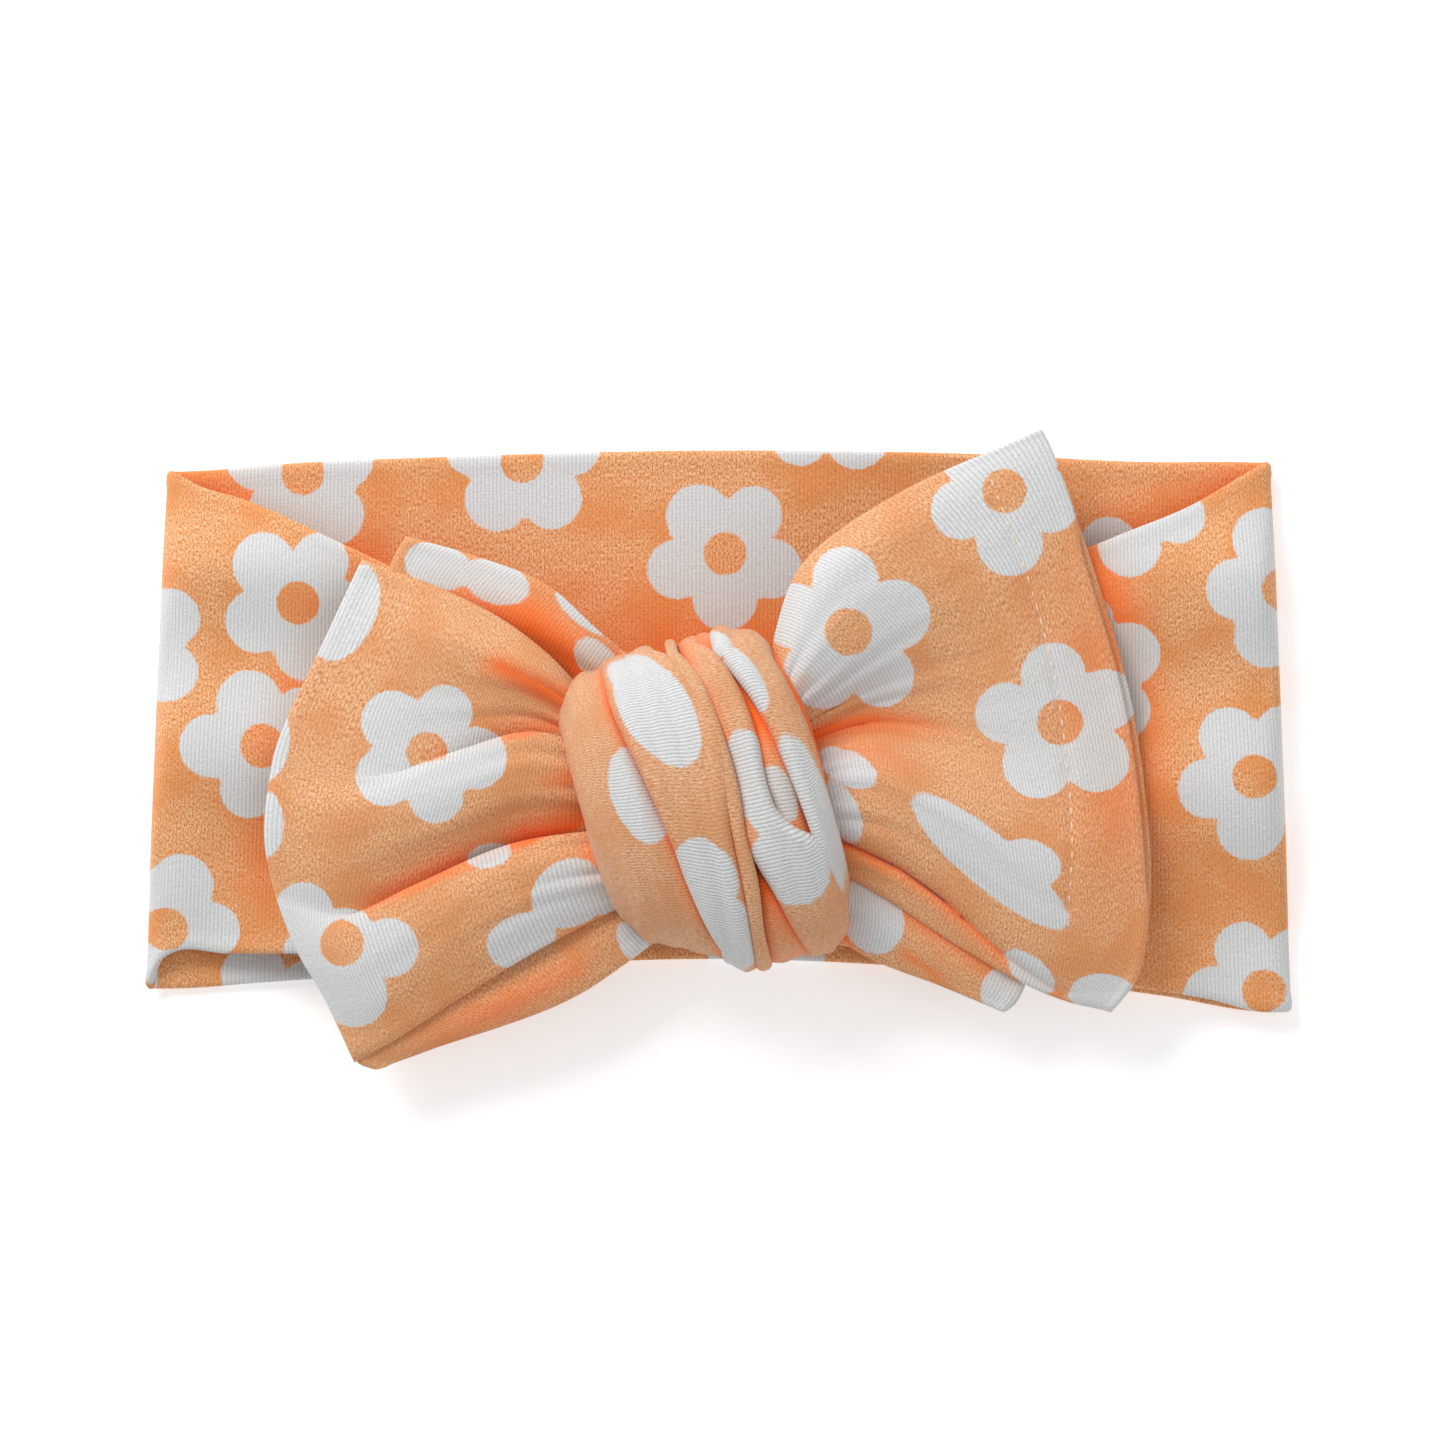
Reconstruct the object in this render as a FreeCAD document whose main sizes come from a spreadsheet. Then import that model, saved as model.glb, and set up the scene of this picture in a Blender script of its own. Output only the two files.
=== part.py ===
import FreeCAD, Part
import os
import Sketcher

# Baby's knotted jersey headband, lying flat. Millimetres, +Z up, +X to the right of the knot,
# origin on the floor under the middle of the band's outline.
# The band is one loop of doubled jersey: a back run on the floor, a fold at each side, and a
# front run gathered into the knot. The two tails leave the knot over the front run.

os.makedirs("parts", exist_ok=True)
doc = FreeCAD.newDocument("KnottedHeadband")

SIZES = {
    "band_half_width": 89.0,
    "band_half_height": 46.6,
    "cloth_thick": 1.2,
    "loop_gap": 6.0,
    "body_gap": 0.3,
    "knot_centre_x": -2.0,
    "knot_centre_y": -8.0,
    "knot_centre_z": 15.0,
    "knot_half_across": 18.5,
    "knot_half_along": 26.0,
    "knot_half_thick": 13.5,
    "knot_lean": 14.0,
    "knot_skin": 3.6,
    "pleat_gap": 0.2,
    "neck_radius": 3.4,
    "neck_reach": 22.7,
    "tail_height": 14.0,
    "tail_tilt": 3.2,
    "left_tail_reach": 70.6,
    "right_tail_reach": 67.7,
    "tail_half_height": 49.9,
    "layer_thick": 1.5,
    "layer_pitch": 1.65,
    "thread_radius": 0.3,
    "thread_clearance": 0.05,
    "left_fold_length": 80.9,
    "right_fold_length": 85.3,
}

sheet = doc.addObject("Spreadsheet::Sheet", "Sizes")
for row, (alias, value) in enumerate(SIZES.items(), start=1):
    sheet.set(f"A{row}", alias)
    sheet.set(f"B{row}", str(value))
    sheet.setAlias(f"B{row}", alias)
doc.recompute()


def size(alias):
    """A driving dimension, read back from the sheet."""
    return float(sheet.get(alias))


Z_AXIS = FreeCAD.Vector(0, 0, 1)
LEAN = FreeCAD.Rotation(Z_AXIS, size("knot_lean"))
ACROSS = LEAN.multVec(FreeCAD.Vector(1, 0, 0))
ALONG = LEAN.multVec(FreeCAD.Vector(0, 1, 0))
KNOT_CENTRE = FreeCAD.Vector(size("knot_centre_x"), size("knot_centre_y"), size("knot_centre_z"))
LEFT, RIGHT = -1, 1
parts = []


def keep(node, label):
    """Name a finished sub-part and put it on the list of parts to write."""
    node.Label = label
    parts.append(node)
    return node


def hinge_point(side):
    """Middle of the line beside the knot that a tail turns about. side is LEFT or RIGHT."""
    point = KNOT_CENTRE + ACROSS * (side * size("neck_reach"))
    point.z = size("tail_height")
    return point


def tail_placement(side):
    """Tilts a tail about its neck so that its hem comes down towards the band."""
    turn = FreeCAD.Rotation(ALONG, side * size("tail_tilt"))
    return FreeCAD.Placement(FreeCAD.Vector(), turn, hinge_point(side))


def cloth(label, outline, reach, height, bottom, thick):
    """A flat run of cloth: a padded outline whose points are shares of reach (X) and height (Y)."""
    body = doc.addObject("PartDesign::Body", label + "_body")
    sketch = body.newObject("Sketcher::SketchObject", label + "_outline")
    floor = next(o for o in body.Origin.OriginFeatures if o.Role == "XY_Plane")
    sketch.AttachmentSupport = [(floor, "")]
    sketch.MapMode = "FlatFace"
    sketch.setExpression("AttachmentOffset.Base.z", bottom)
    corners = [FreeCAD.Vector(u * size(reach), v * size(height), 0) for u, v in outline]
    count = len(corners)
    for i, corner in enumerate(corners):
        sketch.addGeometry(Part.LineSegment(corner, corners[(i + 1) % count]), False)
    for i in range(count):
        sketch.addConstraint(Sketcher.Constraint("Coincident", i, 2, (i + 1) % count, 1))
    for i, (corner, (u, v)) in enumerate(zip(corners, outline)):
        across = ("DistanceX", corner.x, u, reach)
        upward = ("DistanceY", corner.y, v, height)
        for kind, value, share, alias in (across, upward):
            number = sketch.addConstraint(Sketcher.Constraint(kind, -1, 1, i, 1, value))
            sketch.setExpression(f"Constraints[{number}]", f"{share} * Sizes.{alias}")
    pad = body.newObject("PartDesign::Pad", label + "_pad")
    pad.Profile = sketch
    pad.setExpression("Length", f"Sizes.{thick}")
    body.Tip = pad
    return keep(body, label)


def band_run(label, outline, bottom):
    """A run of the band, lying level."""
    return cloth(label, outline, "band_half_width", "band_half_height", bottom, "cloth_thick")


def tail_layer(label, outline, side, level):
    """One layer of a tail. level counts from the middle layer, which meets the neck."""
    reach = "left_tail_reach" if side == LEFT else "right_tail_reach"
    bottom = f"Sizes.tail_height + {level} * Sizes.layer_pitch - Sizes.layer_thick / 2"
    body = cloth(label, outline, reach, "tail_half_height", bottom, "layer_thick")
    body.Placement = tail_placement(side)
    return body


def side_fold(label, side, length, upper_x, upper_y, slant):
    """Half a tube of cloth where the band turns from its back run to its front run. upper_x and
    upper_y are the tube's upper end, and slant turns it in degrees from straight down the page."""
    outer = doc.addObject("Part::Cylinder", label + "_outer")
    outer.setExpression("Radius", "Sizes.loop_gap / 2 + Sizes.cloth_thick")
    outer.Angle = 180
    inner = doc.addObject("Part::Cylinder", label + "_inner")
    inner.setExpression("Radius", "Sizes.loop_gap / 2")
    for tube in (outer, inner):
        tube.setExpression("Height", f"Sizes.{length}")
    fold = doc.addObject("Part::Cut", label + "_cut")
    fold.Base = outer
    fold.Tool = inner
    lie_down = FreeCAD.Rotation(FreeCAD.Vector(1, 0, 0), -90)
    half_turn = FreeCAD.Rotation(Z_AXIS, -90 * side)
    lean = FreeCAD.Rotation(Z_AXIS, slant)
    upper_end = FreeCAD.Vector(side * upper_x, upper_y, size("loop_gap") / 2 + size("cloth_thick"))
    lower_end = upper_end - lean.multVec(FreeCAD.Vector(0, size(length), 0))
    fold.Placement = FreeCAD.Placement(lower_end, lean * lie_down * half_turn)
    return keep(fold, label)


def ellipsoid(name, shrink):
    """The knot's rounded envelope, shrunk all round by the expression given."""
    solid = doc.addObject("Part::Ellipsoid", name)
    solid.setExpression("Radius1", f"Sizes.knot_half_across - {shrink}")
    solid.setExpression("Radius2", f"Sizes.knot_half_thick - {shrink}")
    solid.setExpression("Radius3", f"Sizes.knot_half_along - {shrink}")
    solid.Angle1 = -90
    solid.Angle2 = 90
    solid.Angle3 = 360
    poles_across = FreeCAD.Rotation(FreeCAD.Vector(0, 1, 0), 90)
    solid.Placement = FreeCAD.Placement(KNOT_CENTRE, LEAN * poles_across)
    return solid


def knot_pleat(label, low, high, shrink):
    """One wrap of the knot: the part of the knot's skin between two leaning planes."""
    slab = doc.addObject("Part::Box", label + "_slab")
    slab.setExpression("Length", f"{high - low} - Sizes.pleat_gap")
    slab.setExpression("Width", "2.2 * Sizes.knot_half_along")
    slab.setExpression("Height", "2.2 * Sizes.knot_half_thick")
    corner = FreeCAD.Vector(low, -1.1 * size("knot_half_along"), -1.1 * size("knot_half_thick"))
    slab.Placement = FreeCAD.Placement(KNOT_CENTRE + LEAN.multVec(corner), LEAN)
    slice_ = doc.addObject("Part::Common", label + "_slice")
    slice_.Base = ellipsoid(label + "_skin", shrink)
    slice_.Tool = slab
    pleat = doc.addObject("Part::Cut", label + "_pleat")
    pleat.Base = slice_
    pleat.Tool = ellipsoid(label + "_hollow", "Sizes.knot_skin")
    return keep(pleat, label)


def tail_neck(label, side, low, high):
    """The gathered neck of a tail: a roll beside the knot, along the line the tail turns about."""
    roll = doc.addObject("Part::Cylinder", label + "_roll")
    roll.setExpression("Radius", "Sizes.neck_radius")
    roll.Height = high - low
    lie_along = FreeCAD.Rotation(Z_AXIS, ALONG)
    roll.Placement = FreeCAD.Placement(hinge_point(side) + ALONG * low, lie_along)
    return keep(roll, label)


# --- The band: back run, side folds, front runs ------------------------------------------------
band_run("back_panel", [
    (-0.904, 0.938), (-0.5, 0.98), (0, 1), (0.5, 0.985), (0.916, 0.964),
    (0.951, -0.80), (0.6, -0.77), (0, -0.70), (-0.6, -0.76), (-0.947, -0.80),
], "0")
side_fold("left_side_fold", LEFT, "left_fold_length", upper_x=80.5, upper_y=43.7, slant=-2.95)
side_fold("right_side_fold", RIGHT, "right_fold_length", upper_x=81.6, upper_y=44.9, slant=2.15)
FRONT_BOTTOM = "Sizes.cloth_thick + Sizes.loop_gap"
band_run("front_left_panel", [
    (-0.899, 0.915), (-0.80, 0.813), (-0.676, 0.708), (-0.45, 0.48), (-0.225, 0.20),
    (-0.212, -0.58), (-0.50, -0.645), (-0.73, -0.667), (-0.938, -0.68),
], FRONT_BOTTOM)
band_run("front_right_panel", [
    (0.911, 0.90), (0.811, 0.796), (0.654, 0.68), (0.40, 0.45), (0.19, 0.20),
    (0.215, -0.62), (0.50, -0.72), (0.737, -0.794), (0.89, -0.843), (0.948, -0.86),
], FRONT_BOTTOM)

# --- The knot: the gathered turn inside and five wraps over it ---------------------------------
keep(ellipsoid("inner_turn", "(Sizes.knot_skin + Sizes.body_gap)"), "knot_inner_turn")
knot_pleat("knot_pleat_1", -19.0, -8.0, "0.6")
knot_pleat("knot_pleat_2", -8.0, 2.3, "0")
knot_pleat("knot_pleat_3", 2.3, 5.2, "0.9")
knot_pleat("knot_pleat_4", 5.2, 12.6, "0.2")
knot_pleat("knot_pleat_5", 12.6, 19.0, "0.8")

# --- The left tail -----------------------------------------------------------------------------
tail_neck("left_tail_neck", LEFT, -15.0, 20.0)
tail_layer("left_tail_back_layer", [
    (-0.48, 0.55), (-0.565, 0.607), (-0.694, 0.659), (-0.737, 0.56), (-0.69, 0.20), (-0.47, 0.06),
], LEFT, -1)
tail_layer("left_tail_under_layer", [
    (-0.345, -0.63), (-0.40, -0.83), (-0.61, -0.91), (-0.779, -0.985),
    (-0.84, -0.88), (-0.70, -0.58), (-0.41, -0.34),
], LEFT, -1)
tail_layer("left_tail_upper_pleat", [
    (-0.462, 0.10), (-0.477, 0.39), (-0.588, 0.489), (-0.786, 0.595), (-0.878, 0.307),
    (-0.952, 0.088), (-0.994, -0.12), (-0.666, -0.18), (-0.425, -0.10),
], LEFT, 0)
tail_layer("left_tail_middle_pleat", [
    (-0.45, 0.02), (-0.666, -0.06), (-0.99, -0.08), (-1, -0.222), (-0.989, -0.40),
    (-0.874, -0.573), (-0.698, -0.457), (-0.477, -0.327), (-0.40, -0.26),
], LEFT, 1)
tail_layer("left_tail_lower_pleat", [
    (-0.395, -0.30), (-0.477, -0.35), (-0.698, -0.48), (-0.874, -0.596), (-0.967, -0.489),
    (-0.924, -0.645), (-0.87, -0.77), (-0.80, -0.986), (-0.565, -0.792), (-0.37, -0.60),
], LEFT, 1)

# --- The right tail ----------------------------------------------------------------------------
tail_neck("right_tail_neck", RIGHT, -20.0, 20.0)
tail_layer("right_tail_lower_strip", [
    (0.45, -0.40), (0.458, -0.70), (0.663, -0.82), (0.71, -0.73), (0.74, -0.60),
], RIGHT, -1)
tail_layer("right_tail_hem_turn", [
    (0.63, 0.88), (0.74, 0.96), (0.83, 0.71), (0.885, 0.477), (0.942, 0.21), (0.972, 0.01),
    (0.994, -0.32), (0.99, -0.53), (0.96, -0.71), (0.89, -0.80), (0.80, -0.64),
    (0.82, -0.32), (0.805, -0.04), (0.78, 0.21), (0.732, 0.47),
], RIGHT, -1)
tail_layer("right_tail_upper_layer", [
    (0.365, -0.12), (0.275, 0.36), (0.225, 0.60), (0.295, 0.697), (0.422, 0.806), (0.56, 0.926),
    (0.75, 1), (0.786, 0.906), (0.89, 0.479), (0.947, 0.214), (0.993, -0.24), (0.74, -0.16),
], RIGHT, 0)
tail_layer("right_tail_lap", [
    (0.345, 0.07), (0.56, 0.042), (0.81, -0.08), (0.99, -0.20), (1, -0.317), (0.997, -0.535),
    (0.967, -0.721), (0.901, -0.828), (0.79, -0.776), (0.651, -0.691), (0.514, -0.567), (0.425, -0.46),
], RIGHT, 1)


def hem_thread(label):
    """The hem's sewing thread, climbing from the upper layer onto the lap."""
    rise = size("layer_pitch")
    top = size("tail_height") + size("layer_thick") / 2 + size("thread_radius") + size("thread_clearance")
    route = [
        FreeCAD.Vector(42.9, 42.0, top),
        FreeCAD.Vector(49.6, 23.4, top),
        FreeCAD.Vector(52.9, 10.7, top),
        FreeCAD.Vector(53.9, 3.0, top),
        FreeCAD.Vector(54.4, -1.5, top + rise),
        FreeCAD.Vector(55.5, -15.8, top + rise),
        FreeCAD.Vector(54.9, -25.1, top + rise),
        FreeCAD.Vector(53.6, -34.0, top + rise),
    ]
    spine = Part.makePolygon(route)
    start = (route[1] - route[0]).normalize()
    ring = Part.Wire([Part.makeCircle(size("thread_radius"), route[0], start)])
    shell = Part.BRepOffsetAPI.MakePipeShell(spine)
    shell.setTransitionMode(2)
    shell.add(ring, False, False)
    shell.build()
    shell.makeSolid()
    thread = doc.addObject("Part::Feature", label + "_thread")
    thread.Shape = shell.shape()
    thread.Placement = tail_placement(RIGHT)
    return keep(thread, label)


hem_thread("right_hem_thread")

doc.recompute()
for item in doc.Objects:
    if "Invalid" in item.State or "Error" in item.State:
        raise RuntimeError(f"{item.Label} did not build")
for node in parts:
    if node.Shape.isNull() or not node.Shape.isValid():
        raise RuntimeError(f"{node.Label} has no valid shape")
for node in parts:
    node.Shape.exportStep(f"parts/{node.Label}.step")
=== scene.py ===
import math

import bpy
import numpy as np
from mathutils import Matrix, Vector


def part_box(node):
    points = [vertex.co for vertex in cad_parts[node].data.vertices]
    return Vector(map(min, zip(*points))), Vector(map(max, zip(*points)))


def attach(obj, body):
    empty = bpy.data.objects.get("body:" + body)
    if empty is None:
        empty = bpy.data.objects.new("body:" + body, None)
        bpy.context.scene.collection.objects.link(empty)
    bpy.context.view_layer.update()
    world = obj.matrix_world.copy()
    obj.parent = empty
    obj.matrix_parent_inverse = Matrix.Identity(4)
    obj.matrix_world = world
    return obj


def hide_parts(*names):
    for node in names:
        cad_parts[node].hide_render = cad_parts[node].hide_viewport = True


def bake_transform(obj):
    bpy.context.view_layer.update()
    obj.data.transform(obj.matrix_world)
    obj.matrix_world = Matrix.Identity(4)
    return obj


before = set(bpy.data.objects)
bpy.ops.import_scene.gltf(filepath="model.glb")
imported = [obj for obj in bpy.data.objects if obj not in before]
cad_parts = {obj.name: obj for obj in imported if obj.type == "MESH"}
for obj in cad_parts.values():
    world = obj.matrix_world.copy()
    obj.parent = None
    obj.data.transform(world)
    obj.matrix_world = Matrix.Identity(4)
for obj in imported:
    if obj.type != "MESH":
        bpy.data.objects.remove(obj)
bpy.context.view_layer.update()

# Shapes are worked out in millimetres, in the CAD frame, and scaled to metres when a mesh is made.
MM = 0.001
CLOTH_HALF = 0.6          # half the thickness of the doubled jersey
CAMERA_HEIGHT = 940.0     # of the camera above the floor
VIEW_CENTRE = (0.9, 4.1)  # the point on the floor under the camera


# --- Curves and surfaces -----------------------------------------------------------------------
def smooth(knots, values, at):
    """A smooth curve through values (first axis) at rising knots, read at the positions at."""
    knots = np.asarray(knots, float)
    values = np.asarray(values, float)
    at = np.asarray(at, float)
    step = np.diff(knots).reshape((-1,) + (1,) * (values.ndim - 1))
    slope = np.diff(values, axis=0) / step
    tangent = np.empty_like(values)
    tangent[0] = slope[0]
    tangent[-1] = slope[-1]
    tangent[1:-1] = (slope[:-1] * step[1:] + slope[1:] * step[:-1]) / (step[1:] + step[:-1])
    left = np.clip(np.searchsorted(knots, at, side="right") - 1, 0, len(knots) - 2)
    width = step[left]
    f = ((at - knots[left]) / np.diff(knots)[left]).reshape((-1,) + (1,) * (values.ndim - 1))
    beyond = np.clip(f - 1, 0, None) + np.clip(f, None, 0)
    f = np.clip(f, 0, 1)
    a, b = values[left], values[left + 1]
    ta, tb = tangent[left] * width, tangent[left + 1] * width
    f2, f3 = f * f, f * f * f
    curve = (2 * f3 - 3 * f2 + 1) * a + (f3 - 2 * f2 + f) * ta + (3 * f2 - 2 * f3) * b + (f3 - f2) * tb
    return curve + beyond * np.where(beyond > 0, tb, ta)


def seen_from_camera(points):
    """Where points appear on the floor plane, as x and y in mm, looked at from the camera."""
    shrink = 1 - points[..., 2:] / CAMERA_HEIGHT
    return VIEW_CENTRE + (points[..., :2] - VIEW_CENTRE) / shrink


def placed_under_camera(points):
    """Points whose x and y are as seen from the camera, moved to where they really are."""
    shrink = 1 - points[..., 2:] / CAMERA_HEIGHT
    level = VIEW_CENTRE + (points[..., :2] - VIEW_CENTRE) * shrink
    return np.concatenate([level, points[..., 2:]], axis=-1)


def at_least(low, share):
    """Runs from low to 1 as share goes from 0 to 1."""
    return low + (1 - low) * share


def ramp(value, low, high):
    """0 below low, 1 above high, and smooth between them."""
    f = np.clip((value - low) / (high - low), 0, 1)
    return f * f * (3 - 2 * f)


class Patch:
    """A smooth sheet through ribs: ribs[k][j] is point j along rib k, in mm. If seen, its x and y
    are where it appears on the floor plane from the camera."""

    def __init__(self, ribs, seen=True):
        ribs = np.array(ribs, float)
        if seen:
            ribs = placed_under_camera(ribs)
        self.ribs = ribs
        gaps_along = np.linalg.norm(np.diff(ribs, axis=1), axis=2).mean(axis=0)
        gaps_across = np.linalg.norm(np.diff(ribs, axis=0), axis=2).mean(axis=1)
        self.along = self.rising(gaps_along)
        self.across = self.rising(gaps_across ** 0.8)
        self.length = gaps_along.sum()
        self.width = gaps_across.sum()

    @staticmethod
    def rising(gaps):
        knots = np.concatenate([[0], np.cumsum(gaps)])
        return knots / knots[-1]

    def at(self, q, r):
        """Points at each q across the ribs and each r along them."""
        lines = smooth(self.along, self.ribs.transpose(1, 0, 2), r)
        return smooth(self.across, lines.transpose(1, 0, 2), q)


def steps(length, spacing, half):
    """Shares of a length from 0 to 1, about spacing apart and closer at the rounded ends."""
    ends = [0, 0.08, 0.3, 0.62, 1.0]
    inner = np.linspace(half, length - half, max(int(length / spacing), 3))
    near = np.array(ends) * half
    return np.concatenate([near[:-1], inner, length - near[-2::-1]]) / length


def bulge(share, length, half):
    """How far the cloth's faces stand from its middle, as a share of half its thickness: round at
    the edge, and a little fuller just inside it."""
    edge = np.minimum(share, 1 - share) * length / half
    fuller = 1 + 0.4 * np.exp(-((edge - 2.0) / 1.2) ** 2)
    return np.sqrt(np.clip(1 - (1 - np.clip(edge, 0, 1)) ** 2, 0, 1)) * fuller


def normals(points):
    """Unit normals of a grid of points."""
    du = np.gradient(points, axis=0)
    dv = np.gradient(points, axis=1)
    n = np.cross(dv, du)
    return n / np.maximum(np.linalg.norm(n, axis=2, keepdims=True), 1e-9)


# --- The print: round-petalled flowers, as distances held on the mesh's points ------------------
PETALS = 5
PETAL_REACH = 7.4      # from a flower's middle to a petal's
PETAL_RADIUS = 4.75
PETAL_BODY = 5.6       # radius of the white round the eye
EYE_RADIUS = 3.35
UNEVEN = 0.07          # how much the drawn petals differ in reach and radius, as a share
FAR = 50.0             # a distance at which nothing is printed


def flower_distance(x, y, flowers, blots=()):
    """Signed distances in mm to the nearest petal edge and eye edge, negative inside.
    flowers are (x, y, turn in degrees, size, petals in sight); blots are (x, y, half length,
    half width, turn)."""
    petal = np.full(x.shape, FAR)
    eye = np.full(x.shape, FAR)
    for cx, cy, turn, size, *in_sight in flowers:
        for k in range(in_sight[0] if in_sight else PETALS):
            angle = math.radians(turn + 360 / PETALS * k)
            reach = PETAL_REACH * size * (1 + UNEVEN * math.sin(3.7 * k + cy))
            radius = PETAL_RADIUS * size * (1 + UNEVEN * math.sin(2.1 * k + cx))
            from_petal = np.hypot(x - cx - reach * math.cos(angle), y - cy - reach * math.sin(angle))
            petal = np.minimum(petal, from_petal - radius)
        petal = np.minimum(petal, np.hypot(x - cx, y - cy) - PETAL_BODY * size)
        eye = np.minimum(eye, np.hypot(x - cx, y - cy) - EYE_RADIUS * size)
    for cx, cy, half_long, half_wide, turn in blots:
        angle = math.radians(turn)
        a = ((x - cx) * math.cos(angle) + (y - cy) * math.sin(angle)) / half_long
        b = (-(x - cx) * math.sin(angle) + (y - cy) * math.cos(angle)) / half_wide
        petal = np.minimum(petal, (np.hypot(a, b) - 1) * min(half_long, half_wide))
    return petal, eye


def crease_tint(x, y, lines):
    """How deeply each point lies in shade, from lines of (x, y, strength) and two reaches in mm:
    how far the shade goes to the left of the line's direction and to its right."""
    shade = np.zeros(x.shape)
    for points, reach_left, reach_right in lines:
        nearest = np.full(x.shape, FAR)
        depth = np.zeros(x.shape)
        for (ax, ay, a_deep), (bx, by, b_deep) in zip(points[:-1], points[1:]):
            along = np.array([bx - ax, by - ay])
            length = np.hypot(*along)
            t = np.clip(((x - ax) * along[0] + (y - ay) * along[1]) / length ** 2, 0, 1)
            away = np.hypot(x - ax - t * along[0], y - ay - t * along[1])
            left = (along[0] * (y - ay) - along[1] * (x - ax)) > 0
            strength = a_deep + (b_deep - a_deep) * t
            reach = np.where(left, reach_left, reach_right)
            depth = np.where(away < nearest, strength * np.exp(-(away / reach) ** 2), depth)
            nearest = np.minimum(nearest, away)
        shade = np.maximum(shade, depth)
    return np.clip(shade, 0, 1)


# --- Meshes ------------------------------------------------------------------------------------
def new_object(name, points, faces, material):
    """A smooth object from points in mm."""
    mesh = bpy.data.meshes.new(name)
    mesh.from_pydata((np.array(points) * MM).tolist(), [], faces)
    mesh.shade_smooth()
    mesh.materials.append(material)
    piece = bpy.data.objects.new(name, mesh)
    bpy.context.scene.collection.objects.link(piece)
    return piece


def set_attribute(piece, name, values):
    made = piece.data.attributes.new(name, "FLOAT", "POINT")
    made.data.foreach_set("value", values.astype(np.float32).ravel())


def tube_faces(rings, sides, first=0):
    """Faces of a tube with closed ends, whose rings of points are numbered from first on."""
    faces = []
    for i in range(rings - 1):
        for j in range(sides):
            a, b = first + i * sides + j, first + i * sides + (j + 1) % sides
            faces.append((a, b, b + sides, a + sides))
    faces.append(tuple(first + j for j in range(sides))[::-1])
    faces.append(tuple(first + (rings - 1) * sides + j for j in range(sides)))
    return faces


def closed_sheet(name, points, half, q, r, size, material, petal, eye, fold):
    """A closed cloth mesh: two faces half a thickness off the middle grid, joined round the edge.
    q and r are the grid's shares across and along the cloth, and size its (length, width) in mm.
    petal, eye and fold are the print's distances and the shade at the grid's points."""
    length, width = size
    n = normals(points)
    rise = bulge(q, width, half)[:, None] * bulge(r, length, half)[None, :]
    offset = n * (rise * half)[..., None]
    rows, columns = points.shape[:2]
    index_top = np.arange(rows * columns).reshape(rows, columns)
    index_bottom = index_top.copy()
    inner = np.zeros((rows, columns), bool)
    inner[1:-1, 1:-1] = True
    index_bottom[inner] = rows * columns + np.arange(inner.sum())
    both_faces = np.concatenate([(points + offset).reshape(-1, 3), (points - offset)[inner]])
    faces = []
    for index, flip in ((index_top, False), (index_bottom, True)):
        a, b = index[:-1, :-1].ravel(), index[1:, :-1].ravel()
        c, d = index[1:, 1:].ravel(), index[:-1, 1:].ravel()
        faces.append(np.stack([a, b, c, d] if flip else [a, d, c, b], axis=1))
    piece = new_object(name, both_faces, np.concatenate(faces).tolist(), material)
    qq, rr = np.meshgrid(q, r, indexing="ij")
    grids = {"petal": petal, "eye": eye, "knit_along": rr * length, "knit_across": qq * width, "fold": fold}
    for key, grid in grids.items():
        set_attribute(piece, key, np.concatenate([grid.ravel(), grid[inner]]))
    return piece


# --- Materials ---------------------------------------------------------------------------------
def node(tree, kind, **values):
    made = tree.nodes.new(kind)
    for key, value in values.items():
        setattr(made, key, value)
    return made


def feed(tree, socket, value):
    """Links a node's output to a socket, or sets the socket's own value. A colour is a tuple."""
    if hasattr(value, "links"):
        tree.links.new(value, socket)
    else:
        socket.default_value = (*value, 1) if isinstance(value, tuple) else value


def maths(tree, operation, a, b=None):
    made = node(tree, "ShaderNodeMath", operation=operation)
    feed(tree, made.inputs[0], a)
    if b is not None:
        feed(tree, made.inputs[1], b)
    return made.outputs[0]


def mix_colour(tree, factor, a, b, blend="MIX"):
    made = node(tree, "ShaderNodeMix", data_type="RGBA", blend_type=blend)
    for index, value in ((0, factor), (6, a), (7, b)):
        feed(tree, made.inputs[index], value)
    return made.outputs[2]


def attribute(tree, name):
    return node(tree, "ShaderNodeAttribute", attribute_name=name).outputs["Fac"]


def noise(tree, vector, scale, detail=2.0, roughness=0.5):
    made = node(tree, "ShaderNodeTexNoise")
    for key, value in (("Vector", vector), ("Scale", scale), ("Detail", detail), ("Roughness", roughness)):
        feed(tree, made.inputs[key], value)
    return made.outputs["Fac"]


def spread_range(tree, value, low, high, to_low=0.0, to_high=1.0):
    made = node(tree, "ShaderNodeMapRange", interpolation_type="SMOOTHSTEP")
    for socket, number in zip(made.inputs, (value, low, high, to_low, to_high)):
        feed(tree, socket, number)
    return made.outputs["Result"]


def new_material(name, settings):
    """A material and its shader, whose sockets have these values."""
    material = bpy.data.materials.new(name)
    material.use_nodes = True
    shader = material.node_tree.nodes["Principled BSDF"]
    for key, value in settings.items():
        feed(material.node_tree, shader.inputs[key], value)
    return material, shader


WALE = 0.62       # mm between the knit's wales
COURSE = 0.5      # mm between its courses
WALE_PAINTED_HIGHLIGHT = 1.05     # painted highlight: how bright the wales are, beside the painted shade in the grooves between them
PRINT_BLEED = 0.18    # mm by which the print's edges run either way
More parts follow.
